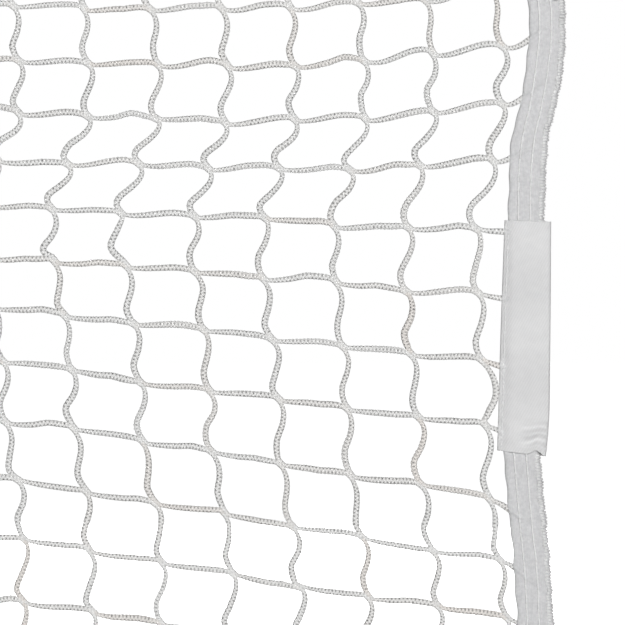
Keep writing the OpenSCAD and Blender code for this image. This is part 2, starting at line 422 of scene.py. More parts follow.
def quads_between(grid):
    """The values at the four corners of every face of a (tubes, rings, sides + 1) grid."""
    corners = [grid[:, :-1, :-1], grid[:, :-1, 1:], grid[:, 1:, 1:], grid[:, 1:, :-1]]
    return np.stack(corners, 3).reshape(-1, 4, *grid.shape[3:])


def tube_uvs(turns, along):
    """UVs of tubes: turns is (tubes, rings, sides + 1) and along (tubes, rings)."""
    return quads_between(np.stack([turns, np.broadcast_to(along[:, :, None], turns.shape)], -1))


# A thread's sides and its plies along each metre, and the marks of a cord that is braided all over.
THREAD_SIDES, THREAD_TWIST = 6, 900.0
KNITTED = {"tone": 0.0, "knit": 1.0}


def closed_tubes(name, paths, radii, front, along, material, body, marks=None):
    """Tubes with flat ends; along is their UVs' second coordinate at each ring."""
    number = np.arange(radii.size).reshape(radii.shape)
    caps = [number[:, 0, ::-1], number[:, -1]]
    around = np.concatenate([number, number[:, :, :1]], 2)
    turns = np.broadcast_to(np.arange(around.shape[2]) / radii.shape[2], around.shape)
    faces = [(quads_between(around), True)] + [(cap, False) for cap in caps]
    uvs = [tube_uvs(turns, along)] + [np.zeros((*cap.shape, 2)) for cap in caps]
    return make_mesh(name, tubes(paths, radii, front), faces, uvs, material, body, marks)


def threads(name, paths, radii, front, material):
    """Sewing threads on the net: radii is (threads, rings)."""
    radii = np.repeat(radii[:, :, None], THREAD_SIDES, axis=2)
    return closed_tubes(name, paths, radii, front, distances(paths) * THREAD_TWIST, material, "net")


def cloth_shell(name, outer, thickness, uv, material, body, kept=None, flip=False):
    """A sheet with real thickness from a grid of points on its outer face; kept says which quads it has."""
    down, across = np.gradient(outer, axis=0), np.gradient(outer, axis=1)
    normals = unit(np.cross(across, down))
    if flip:
        normals = -normals
    inner = outer - normals * thickness
    rows, columns = outer.shape[:2]
    total = rows * columns
    number = np.arange(total).reshape(rows, columns)
    quads = np.stack([number[:-1, :-1], number[1:, :-1], number[1:, 1:], number[:-1, 1:]], -1)
    quads = quads.reshape(-1, 4) if kept is None else quads[kept]
    if flip:
        quads = quads[:, ::-1]
    edges = np.stack([quads, np.roll(quads, -1, axis=1)], -1).reshape(-1, 2)
    codes = edges[:, 0] * total + edges[:, 1]
    rim = edges[~np.isin(codes, edges[:, 1] * total + edges[:, 0])]
    rim_quads = np.stack([rim[:, 1], rim[:, 0], rim[:, 0] + total, rim[:, 1] + total], -1)
    groups = [quads, quads[:, ::-1] + total, rim_quads]
    double_uv = np.concatenate([uv.reshape(-1, 2)] * 2)
    used, corners = np.unique(np.concatenate([group.ravel() for group in groups]), return_inverse=True)
    points = np.concatenate([outer.reshape(-1, 3), inner.reshape(-1, 3)])[used]
    split = np.split(corners.ravel(), np.cumsum([group.size for group in groups])[:-1])
    faces = [(part.reshape(-1, 4), smooth) for part, smooth in zip(split, (True, True, False))]
    uvs = [double_uv[group] for group in groups]
    return make_mesh(name, points, faces, uvs, material, body)


def lathe(name, profile, centre, axis, material, body, sides=48):
    """A closed profile of (along, radius) points in metres turned about an axis through centre."""
    along, radius = np.array(profile, float).T
    angle = 2 * np.pi * np.arange(sides) / sides
    around = [other for other in range(3) if other != axis]
    points = np.empty((len(along), sides, 3))
    points[:, :, axis] = along[:, None]
    points[:, :, around[0]] = radius[:, None] * np.cos(angle)
    points[:, :, around[1]] = radius[:, None] * np.sin(angle)
    points += np.array(centre, float)
    number = np.arange(len(along) * sides).reshape(len(along), sides)
    below, right = np.roll(number, -1, axis=0), np.roll(number, -1, axis=1)
    quads = np.stack([number, right, np.roll(right, -1, axis=0), below], -1).reshape(-1, 4)
    made = make_mesh(name, points, [(quads, True)], [np.zeros((*quads.shape, 2))], material, body)
    turned = bmesh.new()
    turned.from_mesh(made.data)
    bmesh.ops.recalc_face_normals(turned, faces=turned.faces)
    turned.to_mesh(made.data)
    turned.free()
    return made


# ---------------------------------------------------------------- how the netting hangs

COLUMN_PITCH = 2 * SELVEDGE_X / COLUMNS
ROW_PITCH = (TOP_ROW_Z - BOTTOM_ROW_Z) / ROWS

# Each row's rise in millimetres at the side tape and eight columns in, and its sag between the two.
EDGE_LIFT = (
    *((0, 0), (4, 18), (7, 28), (8, 23), (9, 8), (10, 0)),
    *((11, -6), (12, -12), (13, -27), (15, -30), (18, -16), (21, 0)),
)
INNER_LIFT = ((0, 0), (3, 5), (7, 12), (9, 24), (12, 32), (14, 29), (18, 14), (21, 0))
SAG = ((0, 0), (5, -8), (7, -14), (8, -9), (9, -1.5), (12, -2), (13, 1.5), (15, -1), (21, 0))
# Each row's shift towards the side tape, in millimetres.
LEAN = (
    *((0, 0), (3, 10), (5, 18), (7, 20.5), (8, 9), (9, -1), (10, 0.5)),
    *((11, 6.5), (12, 11), (13, 12), (14, 20), (16, 24), (19, 10), (21, 0)),
)
# The columns beside the tape lean this much further where the columns inside have slack.
EDGE_LEAN = ((0, 0), (7, 0), (8, 5.5), (9, 7), (10, 5), (11, 0.5), (12, 0), (21, 0))
# The right tape itself is pulled down below its middle.
EDGE_DROP = ((0, 0), (8, 0), (9, -2), (11, -5), (13, -8), (15, -6), (21, 0))
PULLED_COLUMNS = 8
FADE_COLUMNS = 14
LEFT_END = 0.8

# The side tape's sideways wave in millimetres, by height in millimetres.
TAPE_WAVE = (
    *((25, 0), (120, 4), (200, 6), (274, 1), (316, -3), (390, -1.3)),
    *((470, 0), (517, 2.5), (540, 8), (580, 13), (640, 9), (755, 0)),
)


def tape_wave(z, end=1):
    """How far the right side tape stands outwards at height z, and the left one where end is -1."""
    size = 1 if end > 0 else LEFT_END
    return size * MM * through(TAPE_WAVE, z / MM)


def pulled(columns, rows):
    """Shift towards the tape and upwards, in metres, of nodes so many columns in from an end."""
    near = np.clip(columns / PULLED_COLUMNS, 0, 1)
    lift = through(EDGE_LIFT, rows) * (1 - near) + through(INNER_LIFT, rows) * near
    lift = lift + through(SAG, rows) * np.sin(np.pi * near**0.75)
    lean = (through(LEAN, rows) + through(EDGE_LEAN, rows) * (1 - near) ** 2) * np.clip(columns, 0, 1)
    fade = 1 - smoothstep((columns - PULLED_COLUMNS) / FADE_COLUMNS)
    return lean * fade * MM, lift * fade * MM, fade


def in_bands(z):
    """How far height z is into the headband or the bottom tape, from 0 to 1."""
    reach = 10 * MM
    return smoothstep((z - BAND_Z + reach) / reach) + smoothstep((BOTTOM_TAPE_H + reach - z) / reach)


def middle_y(z):
    """Where the middle of a side tape stands at height z: it moves back into the bands at its two ends."""
    return ROW_Y + (BAND_Y - ROW_Y) * in_bands(z)


column, row = np.meshgrid(np.arange(COLUMNS + 1.0), np.arange(ROWS + 1.0), indexing="ij")
right_lean, right_lift, right_fade = pulled(column, row)
left_lean, left_lift, left_fade = pulled(COLUMNS - column, row)
inside = np.sin(np.pi * row / ROWS)
middle = (1 - right_fade) * (1 - left_fade) * np.sqrt(inside)
swing = 7 * MM * middle * np.sin(0.31 * column + 0.42 * row)
ripple = 6 * MM * middle * np.sin(0.47 * column - 0.3 * row + 1)
node_x = SELVEDGE_X - COLUMN_PITCH * column + right_lean - LEFT_END * left_lean + swing
node_z = TOP_ROW_Z - ROW_PITCH * row + right_lift + LEFT_END * left_lift + ripple
node_z[0] += MM * through(EDGE_DROP, row[0])
node_x[0] = SELVEDGE_X + tape_wave(node_z[0])
node_x[-1] = -SELVEDGE_X - tape_wave(node_z[-1], -1)
from_end = np.minimum(column, COLUMNS - column)
node_y = BAND_Y + (ROW_Y - BAND_Y) * np.clip(1 - from_end / 6, 0, 1)
loose = np.minimum(1, inside * 4) * np.minimum(1, from_end)
node_y = node_y + 0.8 * MM * loose * rng.standard_normal(column.shape)
node_x = node_x + 0.7 * MM * loose * rng.standard_normal(column.shape)
node_z = node_z + 0.7 * MM * loose * rng.standard_normal(column.shape)
nodes = np.stack([node_x, node_y, node_z], -1)

# At each joint two cords run side by side down a short slope: one from above turns to the right,
# the other comes from the left and turns down.
JOINT_HALF = 2.6 * MM
JOINT_APART = 1.0 * MM
slope = np.radians(-43 + 6 * rng.standard_normal(column.shape))
level = np.zeros_like(slope)
joint_along = np.stack([np.cos(slope), level, np.sin(slope)], -1)
joint_aside = JOINT_APART * np.stack([-np.sin(slope), level, np.cos(slope)], -1)
joint_centre = np.stack([nodes + joint_aside, nodes - joint_aside], -2)

TURNING, FALLING = 0, 1


def strand_list(columns, rows):
    """Strands that belong to these ranges: start node, its cord, end node, its cord, each as indices."""
    starts = [(i, k) for i in columns for k in rows]
    flat = [(i + 1, k, TURNING, i, k, FALLING) for i, k in starts if i < COLUMNS]
    upright = [(i, k, FALLING, i, k + 1, TURNING) for i, k in starts if 0 < i < COLUMNS and k < ROWS]
    return np.array(flat + upright)


def heading(towards_x, towards_z, spread, count):
    """Unit directions near to one in the plane of the net, with a random spread."""
    made = np.tile([towards_x, 0.0, towards_z], (count, 1)) + spread * rng.standard_normal((count, 3))
    return unit(made)


def bezier(start, leave, arrive, end, handle, t):
    """Points of cubic curves: the first four are (curves, 3), handle is (curves,) and t the places along."""
    first = start + leave * handle[:, None]
    second = end - arrive * handle[:, None]
    t = t[None, :, None]
    return (
        (1 - t) ** 3 * start[:, None]
        + 3 * t * (1 - t) ** 2 * first[:, None]
        + 3 * t**2 * (1 - t) * second[:, None]
        + t**3 * end[:, None]
    )


def even_paths(paths, count):
    """The same paths with count points at even steps along each."""
    made = np.empty((len(paths), count, 3))
    for n, (path, places) in enumerate(zip(paths, distances(paths))):
        wanted = np.linspace(0, places[-1], count)
        for axis in range(3):
            made[n, :, axis] = np.interp(wanted, places, path[:, axis])
    return made


def rounded(paths, passes):
    """Softens the corners of paths and leaves their two end points on each side where they are."""
    made = paths.copy()
    for _ in range(passes):
        made[:, 2:-2] = 0.25 * made[:, 1:-3] + 0.5 * made[:, 2:-2] + 0.25 * made[:, 3:-1]
    return made


FINE_STEPS = 150
CURVE_STEPS = 60
KINK_REACH = 0.2
SOFTENED = 8
# Uprights, by column and row, that leave and enter their joints in directions of their own: one is pushed
# out against the sleeve, and two are slack.
BENT_UPRIGHTS = {
    (1, 11): ((0.72, 0, -0.70), (-0.70, 0, -0.72)),
    (6, 9): ((-0.35, 0, -0.93), (0.80, 0, -0.60)),
    (7, 9): ((0.50, 0, -0.87), (0.95, 0, -0.30)),
}
SLACK_HANDLE = 0.62


def strand_paths(strands):
    """A path for every strand, from one joint's middle to the next."""
    i0, k0, cord0, i1, k1, cord1 = strands.T
    count = len(strands)
    is_upright = k0 != k1
    upright = is_upright[:, None]
    start_middle, end_middle = joint_centre[i0, k0, cord0], joint_centre[i1, k1, cord1]
    start = start_middle + JOINT_HALF * joint_along[i0, k0]
    end = end_middle - JOINT_HALF * joint_along[i1, k1]
    leave = np.where(upright, heading(0.30, -0.95, 0.10, count), heading(0.97, -0.10, 0.06, count))
    arrive = np.where(upright, heading(0.52, -0.85, 0.10, count), heading(0.95, -0.28, 0.08, count))
    # A row's cord that runs downhill has less of a hump, and an upright's bends follow how far it leans left.
    chord = end - start
    fall = np.where(is_upright, 0, np.clip(chord[:, 2] / np.abs(chord[:, 0]), -0.3, 0))
    leave[:, 2] += 0.8 * fall
    arrive[:, 2] -= 0.5 * fall
    lean = np.where(is_upright, np.clip(-chord[:, 0] / np.abs(chord[:, 2]), 0, 0.7), 0)
    arrive[:, 0] += 0.5 * lean
    leave[:, 0] += np.where(is_upright, 0.3 * np.clip(1 - lean / 0.3, 0, 1), 0)
    leave, arrive = unit(leave), unit(arrive)
    span = np.linalg.norm(chord, axis=1)
    handle = span * np.where(is_upright, rng.uniform(0.34, 0.48, count), rng.uniform(0.22, 0.38, count))
    for (i, k), (leave_by, arrive_by) in BENT_UPRIGHTS.items():
        bent = is_upright & (i0 == i) & (k0 == k)
        leave[bent], arrive[bent] = unit(np.array(leave_by)), unit(np.array(arrive_by))
        if i > 1:
            handle[bent] = SLACK_HANDLE * span[bent]
    curve = bezier(start, leave, arrive, end, handle, np.linspace(0, 1, CURVE_STEPS))
    straight = np.linspace(0, 1, 8)[None, :-1, None]
    head = start_middle[:, None] + (start - start_middle)[:, None] * straight
    tail = end[:, None] + (end_middle - end)[:, None] * (straight + 1 / 7)
    fine = even_paths(np.concatenate([head, curve, tail], 1), FINE_STEPS)
    along = np.linspace(0, 1, FINE_STEPS)
    fine[:, :, 1] += 1.1 * MM * rng.standard_normal(count)[:, None] * np.sin(np.pi * along) ** 2
    kink = np.clip(1 - np.abs(along - rng.uniform(0.55, 0.85, (count, 1))) / KINK_REACH, 0, 1)
    fine[:, :, 0] -= kink * np.where(upright, rng.uniform(0.2, 1.7, (count, 1)) * MM, 0)
    fine[:, :, 2] += kink * np.where(upright, 0, 0.6 * MM * rng.standard_normal((count, 1)))
    fine = rounded(fine, SOFTENED)
    flatten(fine)
    for end, at_end in ((1, i1 == 0), (-1, i0 == COLUMNS)):
        for path, k in zip(fine[at_end], k0[at_end]):
            edge_paths[end, k] = path[::end] * (end, 1, 1)
    return fine


# The strands that run into each side tape, by end and row: the tape's cloth is raised over them.
edge_paths = {}


def flatten(paths):
    """Moves the stretches of paths that lie inside a tape or a band to the middle of its thickness."""
    x, z = np.abs(paths[:, :, 0]), paths[:, :, 2]
    wave = np.where(paths[:, :, 0] > 0, tape_wave(z), tape_wave(z, -1))
    in_tape = smoothstep((x - wave - TAPE_INNER_X + 10 * MM) / (8 * MM))
    in_band = in_bands(z)
    held = np.maximum(in_tape, in_band)
    target = ROW_Y + (BAND_Y - ROW_Y) * in_band
    paths[:, :, 1] += (target - paths[:, :, 1]) * held


# A cord's radius in millimetres from the joint that it leaves to the one that it enters.
CORD_PROFILE = (
    *((0, 1.42), (0.06, 1.36), (0.13, 1.40), (0.32, 1.72)),
    *((0.6, 1.88), (0.85, 1.84), (0.93, 1.66), (1, 1.42)),
)
RELIEF = 0.62 * MM
# Where a cord's braid starts and ends between joints, and the turn that shows two columns of its hollows.
BRAID_START, BRAID_END, BRAID_FADE = 0.06, 0.96, 0.1
BRAID_TURN = 0.125


def netting_piece(name, strands, rings, sides, relief):
    """One piece of netting from its strands, welded where two of them meet in a joint."""
    paths = even_paths(strand_paths(strands), rings)
    i0, k0, cord0, i1, k1, cord1 = strands.T
    count = len(strands)
    along = np.linspace(0, 1, rings)
    part = np.arange(sides + 1) / sides
    turn, twist = BRAID_TURN + 0.05 * rng.uniform(-1, 1, (count, 1)), rng.normal(0, 0.07, (count, 1))
    turns = part + (turn + twist * along)[:, :, None]
    lengths = distances(paths)[:, -1] / (NET_STITCH * rng.normal(1, 0.04, count))
    stitches = rng.uniform(0, 1, count)[:, None] + lengths[:, None] * along
    free = smoothstep((along - BRAID_START) / BRAID_FADE) * smoothstep((BRAID_END - along) / BRAID_FADE)
    swell = 0.05 * rng.standard_normal((count, 1)) + 0.02 * rng.standard_normal((count, rings))
    swell = 1 + swell * free
    radius = MM * through(CORD_PROFILE, along) * swell
    height = 0.3 - braid_pits(stitches[:, :, None], turns[:, :, :-1], NET_BRAID)
    height = height * (0.9 + 0.3 * rng.standard_normal((count, rings, sides)))
    radii = radius[:, :, None] + relief * height * free[None, :, None]
    vertices = tubes(paths, radii, (0, -1, 0), (joint_along[i0, k0], joint_along[i1, k1]))

    ends = np.concatenate([np.stack([i0, k0, cord0], 1), np.stack([i1, k1, cord1], 1)])
    joint_keys, joint_of, used = np.unique(ends, axis=0, return_inverse=True, return_counts=True)
    joint_of = joint_of.reshape(2, count)
    first_inner = len(joint_keys) * sides
    number = np.empty((count, rings, sides), int)
    number[:, 1:-1] = first_inner + np.arange(count * (rings - 2) * sides).reshape(count, rings - 2, sides)
    ring_points = np.empty((len(joint_keys), sides, 3))
    for which, joints in ((0, joint_of[0]), (-1, joint_of[1])):
        ring_points[joints] = vertices[:, which]
        number[:, which] = joints[:, None] * sides + np.arange(sides)
    open_start = number[used[joint_of[0]] == 1, 0][:, ::-1]
    open_end = number[used[joint_of[1]] == 1, -1]
    caps = np.concatenate([open_start, open_end])
    faces = [(quads_between(np.concatenate([number, number[:, :, :1]], 2)), True), (caps, False)]
    uvs = [tube_uvs(turns, stitches), np.zeros((*caps.shape, 2))]
    tone = np.clip(rng.gamma(0.6, 0.35, count), 0, 1)
    tones = np.concatenate([np.zeros(first_inner), np.repeat(tone, (rings - 2) * sides)])
    tones[number[:, 0]] = tone[:, None]
    tones[number[:, -1]] = tone[:, None]
    knit = np.zeros(len(tones))
    knit[number[:, 1:-1]] = free[None, 1:-1, None]
    points = np.concatenate([ring_points.reshape(-1, 3), vertices[:, 1:-1].reshape(-1, 3)])
    made = make_mesh(name, points, faces, uvs, NETTING_CORD, "net", {"tone": tones, "knit": knit})
    stand_for(made, "netting_cord", "netting_rows", "netting_uprights")


# The netting is cut into pieces, finest beside the main view.
CLOSE_COLUMNS = range(10)
CLOSE_ROWS = ((4, 7), (7, 9), (9, 11), (11, 13), (13, 15), (15, 17))
BAY_COLUMNS = 15
for n, (first, last) in enumerate(CLOSE_ROWS):
    netting_piece(f"netting_right_{n + 1}", strand_list(CLOSE_COLUMNS, range(first, last)), 86, 16, RELIEF)
for name, rows in (("above", range(CLOSE_ROWS[0][0])), ("below", range(CLOSE_ROWS[-1][1], ROWS + 1))):
    netting_piece(f"netting_right_{name}", strand_list(CLOSE_COLUMNS, rows), 26, 10, 0.5 * RELIEF)
for n, first in enumerate(range(len(CLOSE_COLUMNS), COLUMNS, BAY_COLUMNS)):
    bay = range(first, min(first + BAY_COLUMNS, COLUMNS + 1))
    netting_piece(f"netting_bay_{n + 1}", strand_list(bay, range(ROWS + 1)), 14, 8, 0)


# ---------------------------------------------------------------- side tapes

CLOTH_T = 0.5 * MM

# How far the tape's cloth stands out over the middle of a strand.
CORD_COVER = 2.75 * MM

# The folded side tape's section in millimetres from its inner edge: how far each face stands from the
# netting's plane. It is pinched at both seams and puffed over the selvedge cord.
TAPE_FRONT = (
    *((0, 0.5), (0.25, 1.1), (0.9, 1.6), (2, 1.9), (6.3, 1.75), (10, 2.3)),
    *((14, 1.9), (17, 2.3), (20, 2.9), (22, 2.3), (22.8, 1.2), (23, 0)),
)
TAPE_BACK = (
    *((0, 0.4), (0.3, 1.0), (1, 1.5), (2, 1.8), (6.3, 1.7), (10, 2.2)),
    *((14, 1.8), (17, 2.3), (20, 2.7), (22, 2.2), (22.8, 1.2), (23, 0)),
)
TAPE_SEAMS = (6.4 * MM, 14.0 * MM)


def section_curve(front, back, count):
    """A folded sheet's section as (across, out) points at even steps from its front edge to its back edge."""
    there = [(across, -out, 0) for across, out in front]
    back_again = [(across, out, 0) for across, out in back[-2::-1]]
    fine = rounded(even_paths(np.array([there + back_again], float), 240), 12)
    return even_paths(fine, count)[0, :, :2] * MM


def uneven(low, high, close_low, close_high, close_step, far_step):
    """Places from low to high, close together between close_low and close_high."""
    marks = [low, max(low, close_low), min(high, close_high), high]
    stretches = zip(marks[:-1], marks[1:], [far_step, close_step, far_step])
    parts = [np.linspace(a, b, max(2, round((b - a) / step) + 1))[:-1] for a, b, step in stretches]
    return np.concatenate([*parts, [high]])


def waves(places, sizes, lengths, seed):
    """A few sine waves of these sizes and lengths with seeded phases."""
    phases = np.random.default_rng(seed).uniform(0, TURN, len(sizes))
    kinds = zip(sizes, lengths, phases)
    return sum(size * np.sin(TURN * places / length + phase) for size, length, phase in kinds)


def cord_ridge(x, z, end):
    """How much a side tape is raised at x and z by the strands inside it, from 0 to 1."""
    made = np.zeros(np.broadcast(x, z).shape)
    for (path_end, _), path in edge_paths.items():
        if path_end == end:
            centre = np.interp(x, path[:, 0], path[:, 2])
            made = np.maximum(made, np.exp(-(((z - centre) / (2.6 * MM)) ** 2)))
    return made


def tape_point(across, out, z, end):
    """A point of a side tape: across from its inner edge, out from the netting's plane, at height z."""
    face = np.sign(out) * smoothstep(np.abs(out) / (1.2 * MM))
    narrow = 1 + waves(z, (0.010, 0.008), (61 * MM, 23 * MM), 3) * (across / TAPE_W)
    inner_edge = 1 - smoothstep(across / (3 * MM))
    fray = inner_edge * waves(z, (0.25, 0.3), (47 * MM, 19 * MM), 5 if end > 0 else 6) * MM
    outer_edge = smoothstep((across - 0.8 * TAPE_W) / (0.2 * TAPE_W))
    lumps = outer_edge * waves(z, (0.22, 0.16, 0.12), (11 * MM, 5.3 * MM, 3.1 * MM), 8) * MM
    x = TAPE_INNER_X + across * narrow + fray + lumps + tape_wave(z, end)
    buckle = waves(z + 0.3 * across, (0.30, 0.22), (33 * MM, 14 * MM), 11) * MM
    reach = 1 - smoothstep((across - 0.6 * TAPE_W) / (0.3 * TAPE_W))
    cover = CORD_COVER * reach * cord_ridge(x, z, end)
    out = out + 0.25 * MM * face * waves(z - across, (1, 0.7), (9 * MM, 4.1 * MM), 12) * outer_edge
    out = out * (1 - 0.25 * in_bands(z))
    out = np.where(out < 0, np.minimum(out, -cover), np.maximum(out, cover))
    mouth = np.exp(-(((np.abs(z - SLEEVE_MID_Z) - SLEEVE_H / 2) / (6 * MM)) ** 2)) * (1 - outer_edge)
    y = middle_y(z) + out + buckle * (1 - in_bands(z)) - 0.6 * MM * mouth
    return np.stack([end * x, np.broadcast_to(y, x.shape), np.broadcast_to(z, x.shape)], -1)


TAPE_TUCK = 8 * MM
VIEW_LOW, VIEW_HIGH = VIEW_Z - VIEW_WIDTH / 2, VIEW_Z + VIEW_WIDTH / 2
tape_section = section_curve(TAPE_FRONT, TAPE_BACK, 96)


def section_out(section, across, is_front):
    """How far a section's front or back face stands out at a distance across."""
    fold = np.argmax(section[:, 0])
    half = section[: fold + 1] if is_front else section[:fold:-1]
    return np.interp(across, half[:, 0], half[:, 1])


def face_seams(section, seams, point):
    """Seams on the two faces of a folded piece, for stitches: point finds them from across and out."""
    made = []
    for is_front in (True, False):
        outward = np.array([0.0, -1.0 if is_front else 1.0, 0.0])
        made += [(point(across, section_out(section, across, is_front)), outward) for across in seams]
    return made


def stitches(name, seams, replaced, radius, dip=0.1, proud=0.25):
    """Sewing thread along seams. Each seam is (points of the stitches' two ends, outward direction); dip and
    proud are how deep a stitch's ends go and how far its middle stands out, in thicknesses of the thread."""
    shape = ((0.0, -dip), (0.1, proud - 0.1), (0.35, proud), (0.65, proud), (0.9, proud - 0.1), (1.0, -dip))
    paths = []
    for points, outward in seams:
        start, end = points[:-1], points[1:]
        made = [start + share * (end - start) + outward * radius * 2 * lift for share, lift in shape]
        paths.append(np.stack(made, 1))
    paths = np.concatenate(paths)
    paths = paths + 0.05 * MM * rng.standard_normal((len(paths), 1, 3))
    radii = radius * (1 + 0.08 * rng.standard_normal((len(paths), 1))) * np.array([0.8, 1, 1, 1, 1, 0.8])
    return stand_for(threads(name, paths, radii, (0.02, 1, 0.01), THREAD), "sewing_thread", replaced)


def folded_sheet(name, section, along, point, thickness, material, end=1, kept=None):
    """A folded cloth piece from its section, places along it and a function that puts them in the net, with
    its flat width."""
    across, out = section[:, 0], section[:, 1]
    grid = point(across[None, :], out[None, :], along[:, None])
    round_section = distances(section[None])[0]
    uv = np.stack(np.broadcast_arrays(round_section[None, :], along[:, None]), -1)
    kept = None if kept is None else kept((grid[1:, 1:] + grid[:-1, :-1]) / 2)
    made = cloth_shell(f"{name}_cloth", grid, thickness, uv, material, "net", kept, flip=end < 0)
    return made, float(round_section[-1])


# The overlock round the tape's outer edge: its loops' spacing, thread and reach, and how far they stand
# from the netting's plane at places in from the edge.
LOOP_PITCH = 0.95 * MM
LOOP_R = 0.42 * MM
LOOP_REACH = 3.5 * MM
LOOP_OUTSIDE = 0.28 * MM
LOOP_IN = (0, 0.4 * MM, 1.2 * MM, 3.4 * MM)
LOOP_HALF = (1.65 * MM, 2.45 * MM, 2.95 * MM, 3.25 * MM)


def overlock_loops(side, end):
    """Loops of thread over the outer edge of a side tape, leaning up and down by turns."""
    z = np.arange(TAPE_Z0 + LOOP_PITCH, TAPE_Z1 - LOOP_PITCH, LOOP_PITCH)
    z = z + 0.12 * MM * rng.standard_normal(len(z))
    angle = np.linspace(0, np.pi, 9)
    reach = LOOP_REACH + 0.3 * MM * rng.standard_normal((len(z), 1))
    lean = np.where(np.arange(len(z)) % 2 == 0, 0.7, -0.7)[:, None]
    z = z[:, None] + LOOP_PITCH * lean * np.sin(angle)
    edge = tape_point(np.full(1, TAPE_W), np.zeros(1), z.reshape(-1), end)[:, 0].reshape(z.shape)
    in_by = reach * (1 - np.sin(angle)) - LOOP_OUTSIDE * np.sin(angle)
    half = np.interp(np.clip(in_by, 0, None), LOOP_IN, LOOP_HALF)
    y = middle_y(z) - half * (1 - 0.25 * in_bands(z)) * np.cos(angle)
    radii = np.full(z.shape, LOOP_R) * (1 + 0.1 * rng.standard_normal((len(z), 1)))
    loops = np.stack([edge - end * in_by, y, z], -1)
    made = threads(f"side_tape_{side}_overlock", loops, radii, (0, 0, 1), OVERLOCK_THREAD)
    return stand_for(made, "sewing_thread", f"overlock_{side}")


def tape_pieces(end, side):
    """One side tape with its selvedge cord, two seams on each face and overlocked outer edge."""
    low, high = TAPE_Z0 - TAPE_TUCK, TAPE_Z1 + TAPE_TUCK
    z = uneven(low, high, VIEW_LOW, VIEW_HIGH, 0.8 * MM if end > 0 else 3 * MM, 3 * MM)
    cloth, flat_w = folded_sheet(
        f"side_tape_{side}", tape_section, z, lambda *place: tape_point(*place, end), CLOTH_T, SIDE_TAPE, end
    )
    stand_for(cloth, "tape_webbing", f"side_tape_{side}")

    z = uneven(low, high, VIEW_LOW, VIEW_HIGH, 2 * MM, 4 * MM)
    path = np.stack([end * (SELVEDGE_X + tape_wave(z, end)), middle_y(z), z], -1)[None]
    radii = np.full((1, len(z), 12), CORD_R)
    name = f"selvedge_{side}_cord"
    cord = closed_tubes(name, path, radii, (0, -1, 0), z[None] / NET_STITCH, NETTING_CORD, "net", KNITTED)
    stand_for(cord, "netting_cord", f"selvedge_cord_{side}")

    z = np.arange(TAPE_Z0 + 1 * MM, TAPE_Z1 - 1 * MM, 3.0 * MM)
    swaying = [seam + waves(z, (0.25 * MM,), (70 * MM,), 17) for seam in TAPE_SEAMS]
    seams = face_seams(tape_section, swaying, lambda across, out: tape_point(across, out, z, end))
    name = f"side_tape_{side}_stitching"
    thread = stitches(name, seams, f"side_tape_seams_{side}", 0.62 * MM, dip=-0.15, proud=0.4)
    overlock = overlock_loops(side, end)


for end, side in SIDES:
    tape_pieces(end, side)


# ---------------------------------------------------------------- sleeves

# The sleeve's section in millimetres from its seam: how far its front and back stand from the netting.
SLEEVE_FRONT = (
    *((0, 0.3), (0.5, 0.8), (2.5, 1.7), (4.5, 2.9), (6.5, 3.8), (10, 4.4)),
    *((28, 4.5), (30.3, 4.2), (30.9, 3.0), (31, -0.5)),
)
SLEEVE_BACK = (
    *((0, 0.9), (0.6, 2.2), (2, 4.0), (6, 7.4), (16, 8.8)),
    *((26, 7.5), (29.6, 5.2), (30.8, 2.4), (31, 0.5)),
)
SLEEVE_SEAM = 2.5 * MM
SLEEVE_T = 0.7 * MM
SLEEVE_SEEDS = {"upper": 31, "middle": 42, "lower": 53}
sleeve_section = section_curve(SLEEVE_FRONT, SLEEVE_BACK, 90)
# How far the sleeve's two edges stand out from straight, in millimetres, by their share of its height.
SLEEVE_LEFT = ((0, -2.5), (0.5, -0.4), (1, 2.2))
SLEEVE_RIGHT = ((0, -2.8), (0.05, -1.8), (0.13, -0.8), (0.4, 0), (1, 0.7))
# The creases at its lower mouth: their spacing and size, and how far up the first one stands.
CREASE_PITCH = 9.2 * MM
CREASE_SIZE = 1.5
CREASE_UP = 13.3 * MM


def sleeve_point(across, out, up, low_z, end, seed):
    """A point of a sleeve: across from its seam, out from the netting's plane, up from its lower mouth."""
    share, v = across / SLEEVE_W, up / SLEEVE_H
    is_front = smoothstep(-out / (2 * MM))
    arch = 3.0 * MM * np.exp(-(((share - 0.8) / 0.11) ** 2)) * is_front
    top_drop = -1.0 * MM * share * smoothstep((v - 0.8) / 0.2)
    bottom_rise = (arch - 3.7 * MM * (share - 0.57)) * smoothstep((0.16 - v) / 0.16)
    z = low_z + up + top_drop + bottom_rise
    edges = through(SLEEVE_LEFT, v) * (1 - share) + through(SLEEVE_RIGHT, v) * share
    shift = tape_wave(low_z + SLEEVE_H / 2, end) - tape_wave(SLEEVE_MID_Z, end)
    x = HALF_W - SLEEVE_W + across + edges * MM + shift
    face = np.sign(out) * smoothstep(np.abs(out) / (2 * MM))
    ripple = waves(up + 0.5 * across, (0.22, 0.15, 0.08), (52 * MM, 23 * MM, 9 * MM), seed) * MM
    ripple = ripple * smoothstep(share / 0.15)
    near_mouth = smoothstep((share - 0.3) / 0.35) * smoothstep((25 * MM - up) / (10 * MM)) * is_front
    near_mouth = near_mouth * (0.35 + 0.65 * smoothstep(up / (6 * MM)))
    crease_z = np.maximum(up, 4 * MM) - CREASE_UP + 0.1 * (SLEEVE_W - across)
    creases = CREASE_SIZE * np.cos(TURN * crease_z / CREASE_PITCH) + 0.2
    out_by = out + face * (ripple + creases * MM * near_mouth)
    cover = 2.5 * MM * cord_ridge(x, z, end) * (1 - smoothstep((share - 0.1) / 0.5))
    out_by = np.where(out < 0, np.minimum(out_by, -cover), np.maximum(out_by, cover))
    return np.stack(np.broadcast_arrays(end * x, ROW_Y + out_by, z), -1)


